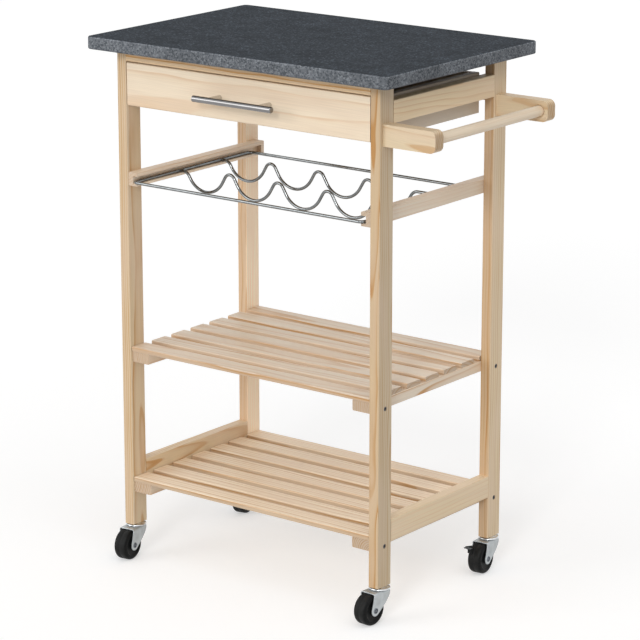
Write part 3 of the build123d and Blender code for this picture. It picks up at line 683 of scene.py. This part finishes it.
class CART_OT_drawer_box(bpy.types.Operator):
    """Finish the drawer's front, box and plywood bottom"""
    bl_idname = "cart.drawer_box"
    bl_label = "Drawer box"

    def execute(self, context):
        wood = context.scene.cart.wood
        for node in SAWN:
            if node.startswith("drawer_"):
                dress(planed_pine(wood, node), node)
        dress(birch_plywood(wood), "drawer_bottom")
        return {"FINISHED"}


class CART_OT_bar_pull(bpy.types.Operator):
    """Finish the bar pull and set its pan-head screws"""
    bl_idname = "cart.bar_pull"
    bl_label = "Bar pull"

    def execute(self, context):
        metal = context.scene.cart.metal
        dress(brushed_stainless("bar", metal.steel, metal), "pull_bar")
        steel = brushed_stainless("post", metal.post, metal)
        dress(steel, "pull_posts")
        seats = screw_seats("pull_screws")
        long = seats[0][2]
        # a domed head with a four-cornered recess, seen from its face backwards
        head = [(-1.5, 0), (-1.5, 0.7, 4), (-0.25, 1.0, 4), (0, 1.6), (-0.2, 2.4), (-0.8, 3.1), (-1.6, 3.5),
                (-2.4, 3.6), (-2.6, 3.5), (-2.6, 2.0), (1 - long, 2.0), (-long, 1.4), (-long, 0)]
        screw = turned("pan_head_screw", head, steel, 32)
        mesh = strewn("pan_head_screws", screw, [along(facing, place) for place, facing, _ in seats])
        set_down("pan_head_screws", mesh, Matrix(), "drawer", "stainless_steel", "pull_screws")
        return {"FINISHED"}


class CART_OT_towel_rail(bpy.types.Operator):
    """Finish the towel arms and their dowel"""
    bl_idname = "cart.towel_rail"
    bl_label = "Towel rail"

    def execute(self, context):
        for node in ("front_towel_arm", "back_towel_arm", "towel_dowel"):
            dress(planed_pine(context.scene.cart.wood, node), node)
        return {"FINISHED"}


class CART_OT_wire_rack(bpy.types.Operator):
    """Finish the bottle rack's wires and its grooved rails"""
    bl_idname = "cart.wire_rack"
    bl_label = "Wire rack"

    def execute(self, context):
        cart = context.scene.cart
        wires = [node for node in frame["nodes"] if node.endswith("_wire")]
        dress(chromed_steel("wire", cart.metal.wire), *wires)
        for node in ("left_rack_rail", "right_rack_rail"):
            dress(planed_pine(cart.wood, node), node)
        return {"FINISHED"}


class CART_OT_slatted_shelves(bpy.types.Operator):
    """Finish the slats and the cleats that carry them"""
    bl_idname = "cart.slatted_shelves"
    bl_label = "Slatted shelves"

    def execute(self, context):
        for node in SAWN:
            if node.endswith(("_slats", "_cleat")):
                dress(planed_pine(context.scene.cart.wood, node), node)
        return {"FINISHED"}


class CART_OT_recessed_screws(bpy.types.Operator):
    """Set socket screws in the frame's sunk holes"""
    bl_idname = "cart.recessed_screws"
    bl_label = "Recessed screws"

    def execute(self, context):
        steel = zinc_plated_steel("screw", context.scene.cart.metal.screw)
        seats = screw_seats("frame_screws")
        long = seats[0][2]
        # a round head with a six-cornered socket, seen from its face backwards
        head = [(-1.9, 0), (-1.9, 2.0, 6), (-0.15, 2.0, 6), (0, 2.5), (0, 3.2), (-0.25, 3.5), (-0.5, 3.6),
                (-2.5, 3.6), (-2.6, 3.5), (-2.6, 2.0), (1.5 - long, 2.0), (-long, 0.5), (-long, 0)]
        screw = turned("socket_screw", head, steel, 36)
        mesh = strewn("socket_screws", screw, [along(facing, place) for place, facing, _ in seats])
        set_down("socket_screws", mesh, Matrix(), "cart_frame", "stainless_steel", "frame_screws")
        # thin wooden caps over the screws that face inwards
        rings = [(-0.2, 0), (-0.2, 3.55), (0.1, 3.6), (0.25, 3.3), (0.3, 2.4), (0.3, 0)]
        cap = turned("screw_cap", rings, planed_pine(context.scene.cart.wood, "joint_dowels"), 36)
        inner = [(place, facing) for place, facing, _ in seats if place.x * facing.x < 0]
        mesh = strewn("screw_caps", cap, [along(facing, place) for place, facing in inner])
        set_down("screw_caps", mesh, Matrix(), "cart_frame", "turned_wood")
        return {"FINISHED"}


def wheel_rings(size):
    """Rings of a moulded wheel: a boss beside the fork, a dished web, a rim, a joint ring, the tyre's round
    shoulder and a mould line, then the same on the other side."""
    rim, half, hub = size.wheel_radius / MM, size.wheel_width / MM / 2, size.hub_radius / MM
    side = [(half + 0.5, RIVET_BORE), (half + 0.5, hub - 0.5), (half + 0.35, hub - 0.12), (half, hub),
            (half - 1.1, hub + 0.1), (half - 1.4, hub + 0.35), (half - 1.5, hub + 0.8),
            (half - 1.5, rim - 8.5), (half - 1.35, rim - 8.05), (half - 0.2, rim - 6.75),
            (half, rim - 6.3), (half, rim - 5.9), (half - 0.3, rim - 5.7), (half, rim - 5.5)]
    bow = size.shoulder / MM
    side += [(half - bow + bow * math.cos(a), rim - bow + bow * math.sin(a))
             for a in (math.radians(9 * step) for step in range(11))]
    side += [(0.6, rim), (0.2, rim - 0.25)]
    return side + [(-place, radius) for place, radius in reversed(side)] + side[:1]


def rivet_rings(size):
    """Rings of a rivet: at each end a rolled lip round a sunk ring, with the end of the mandrel in it."""
    lip = size.rivet_length / MM / 2
    end = [(0, 3.0), (lip - 1.2, 3.0), (lip - 1.2, 4.35), (lip - 1.0, 4.6), (lip - 0.5, 4.5),
           (lip - 0.1, 4.05), (lip, 3.6), (lip - 0.15, 3.2), (lip - 1.0, 2.9), (lip - 3.0, 2.7),
           (lip - 3.0, 1.9), (lip - 0.6, 1.6), (lip - 0.2, 1.2), (lip - 0.1, 0.6), (lip - 0.1, 0)]
    return [(-place, radius) for place, radius in reversed(end)] + end


def race_rings(foot, seat, wide, stem):
    """Rings of a race from its lowest to its highest: the king pin's head and neck, a saucer with a rolled
    rim under the leg's seat, and the stem in the leg."""
    return [(-foot, 0), (-foot, 6.4), (0.6 - foot, 7), (2.5 - foot, 7), (2.5 - foot, 4), (0.3, 4),
            (0.3, wide - 1), (0.55, wide - 0.4), (1.1, wide), (1.8, wide), (2.5, wide - 0.35),
            (2.9, wide - 0.9), (3.1, wide - 2), (3.3, wide - 4), (seat - 0.3, wide - 5.4), (seat, wide - 6),
            (seat, 4.5), (stem - 0.8, 4.5), (stem, 3.7), (stem, 0)]


class CART_OT_casters(bpy.types.Operator):
    """Press the forks, and turn the races, the wheels and their rivets"""
    bl_idname = "cart.casters"
    bl_label = "Casters"

    def execute(self, context):
        cart = context.scene.cart
        size = cart.caster
        zinc = zinc_plated_steel("fork", cart.metal.zinc)
        wheel = turned("moulded_wheel", wheel_rings(size), moulded_rubber(size), 96)
        rivet = turned("rolled_rivet", rivet_rings(size), zinc_plated_steel("rivet", cart.metal.rivet), 40)
        chrome = chromed_steel("race", cart.metal.race)
        joints = {joint["name"]: joint for joint in frame["record"]["behaviour"]["joints"]}
        for corner in CORNERS:
            axle = joints[f"{corner}_roll"]
            matrix = along(axle["axis"], Vector(axle["pos_m"]))
            set_down(f"{corner}_moulded_wheel", wheel, matrix, f"{corner}_wheel", "black_rubber",
                     f"{corner}_wheel")
            set_down(f"{corner}_rolled_rivet", rivet, matrix, f"{corner}_caster", "zinc_plated_steel",
                     f"{corner}_axle")
            low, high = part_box(f"{corner}_race")
            pivot = Vector(joints[f"{corner}_swivel"]["pos_m"])
            pin = joints.get(f"{corner}_brake_press")
            fork = pressed_fork(f"{corner}_pressed_fork", size, matrix.inverted() @ pivot,
                                pin and matrix.inverted() @ Vector(pin["pos_m"]), zinc)
            set_down(f"{corner}_pressed_fork", fork, matrix, f"{corner}_caster", "zinc_plated_steel",
                     f"{corner}_fork")
            foot, seat = (pivot.z - low.z) / MM, (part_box(f"{corner}_leg")[0].z - pivot.z) / MM
            wide, stem = (high.x - low.x) / MM / 2, (high.z - pivot.z) / MM
            race = turned(f"{corner}_rolled_race", race_rings(foot, seat, wide, stem), chrome, 72)
            set_down(f"{corner}_rolled_race", race, along((0, 0, 1), pivot), "cart_frame", "chrome",
                     f"{corner}_race")
        return {"FINISHED"}


class CART_OT_foot_brakes(bpy.types.Operator):
    """Finish the brake levers and their rubber pads"""
    bl_idname = "cart.foot_brakes"
    bl_label = "Foot brakes"

    def execute(self, context):
        cart = context.scene.cart
        zinc, rubber = zinc_plated_steel("lever", cart.metal.lever), moulded_rubber(cart.caster)
        for corner in ("back_left", "back_right"):
            dress(zinc, f"{corner}_brake_lever")
            dress(rubber, f"{corner}_brake_pad")
        return {"FINISHED"}


def backdrop_rays(tree):
    """1 for the rays that see the white backdrop: the camera's, reflections and what glass lets through."""
    rays = add(tree, "LightPath").outputs
    seen = add(tree, "Math", {0: rays["Is Camera Ray"], 1: rays["Is Glossy Ray"]}, operation="ADD")
    seen = add(tree, "Math", {0: seen.outputs[0], 1: rays["Is Transmission Ray"]}, operation="ADD",
               use_clamp=True)
    return seen.outputs[0]


# in metres: half a side of the floor, its drop below the wheels, and how far the camera sees
HALF_FLOOR, FLOOR_DROP, FAR = 14, 0.0004, 60
# the glow that lifts the floor to white for the camera, and the even light of the room
FLOOR_GLOW, ROOM_LIGHT = 0.43, 0.5
# each sun: the direction towards it, its strength, and its spread in degrees
SUNS = (("key_light", (-0.5, -0.8, 0.3), 0.85, 34), ("front_light", (0.34, -0.84, 0.42), 0.75, 14),
        ("fill_light", (0.5, -0.31, 0.81), 0.62, 60))


class CART_OT_studio_stage(bpy.types.Operator):
    """Lay the pale floor, hang the soft lights and set the camera"""
    bl_idname = "cart.studio_stage"
    bl_label = "Studio stage"

    def execute(self, context):
        scene = context.scene
        stage = scene.cart.stage
        scene.view_settings.view_transform = "Standard"

        mesh = bpy.data.meshes.new("studio_floor")
        ends = ((-1, -1), (1, -1), (1, 1), (-1, 1))
        corners = [(x * HALF_FLOOR, y * HALF_FLOOR, -FLOOR_DROP) for x, y in ends]
        mesh.from_pydata(corners, [], [(0, 1, 2, 3)])
        paint, tree = new_material("painted_floor")
        matt = add(tree, "BsdfDiffuse", {"Color": (*stage.floor, 1)})
        lift = add(tree, "Math", {0: backdrop_rays(tree), 1: FLOOR_GLOW}, operation="MULTIPLY")
        glow = add(tree, "Emission", {"Strength": lift.outputs[0]})
        both = add(tree, "AddShader", {0: matt.outputs[0], 1: glow.outputs[0]})
        add(tree, "OutputMaterial", {"Surface": both.outputs[0]})
        mesh.materials.append(paint)
        floor = bpy.data.objects.new("studio_floor", mesh)
        scene.collection.objects.link(floor)

        world = bpy.data.worlds.new("white_room")
        world.use_nodes = True
        world.node_tree.nodes.clear()
        tree = world.node_tree
        room = add(tree, "Background", {"Strength": ROOM_LIGHT})
        white = add(tree, "Background", {"Strength": 1.0})
        for node in (room, white):
            node.inputs["Color"].default_value = (1, 1, 1, 1)
        both = add(tree, "MixShader", {0: backdrop_rays(tree), 1: room.outputs[0], 2: white.outputs[0]})
        add(tree, "OutputWorld", {"Surface": both.outputs[0]})
        scene.world = world

        for name, towards, strength, spread in SUNS:
            lamp = bpy.data.lights.new(name, "SUN")
            lamp.energy = strength
            lamp.angle = math.radians(spread)
            light = bpy.data.objects.new(name, lamp)
            light.rotation_euler = Vector(towards).to_track_quat("Z", "Y").to_euler()
            scene.collection.objects.link(light)

        lens = bpy.data.cameras.new("photo_camera")
        lens.lens = stage.lens
        lens.clip_end = FAR
        camera = bpy.data.objects.new("photo_camera", lens)
        level = math.cos(stage.elevation)
        back = Vector((math.sin(stage.azimuth) * level, -math.cos(stage.azimuth) * level,
                       math.sin(stage.elevation)))
        camera.location = Vector(stage.target) + back * stage.distance
        camera.rotation_euler = back.to_track_quat("Z", "Y").to_euler()
        scene.collection.objects.link(camera)
        scene.camera = camera
        return {"FINISHED"}


OPERATORS = (
    CART_OT_stone_worktop, CART_OT_pine_frame, CART_OT_drawer_box, CART_OT_bar_pull, CART_OT_towel_rail,
    CART_OT_wire_rack, CART_OT_slatted_shelves, CART_OT_recessed_screws, CART_OT_casters, CART_OT_foot_brakes,
    CART_OT_studio_stage,
)


class VIEW3D_PT_cart(bpy.types.Panel):
    """Lists the cart's pieces and their settings"""
    bl_label = "Kitchen cart"
    bl_idname = "VIEW3D_PT_cart"
    bl_space_type = "VIEW_3D"
    bl_region_type = "UI"
    bl_category = "Cart"

    def draw(self, context):
        for operator in OPERATORS:
            self.layout.operator(operator.bl_idname)
        cart = context.scene.cart
        for group in (cart.wood, cart.stone, cart.metal, cart.caster, cart.stage):
            box = self.layout.box()
            for key in group.__annotations__:
                box.prop(group, key)


CLASSES = (WoodSettings, StoneSettings, MetalSettings, CasterSettings, StageSettings, CartSettings,
           *OPERATORS, VIEW3D_PT_cart)


def register():
    for kind in CLASSES:
        bpy.utils.register_class(kind)
    bpy.types.Scene.cart = PointerProperty(type=CartSettings)


def unregister():
    del bpy.types.Scene.cart
    for kind in reversed(CLASSES):
        bpy.utils.unregister_class(kind)


def main():
    register()
    bpy.ops.cart.stone_worktop()
    bpy.ops.cart.pine_frame()
    bpy.ops.cart.drawer_box()
    bpy.ops.cart.bar_pull()
    bpy.ops.cart.towel_rail()
    bpy.ops.cart.wire_rack()
    bpy.ops.cart.slatted_shelves()
    bpy.ops.cart.recessed_screws()
    bpy.ops.cart.casters()
    bpy.ops.cart.foot_brakes()
    bpy.ops.cart.studio_stage()


if __name__ == "__main__":
    main()
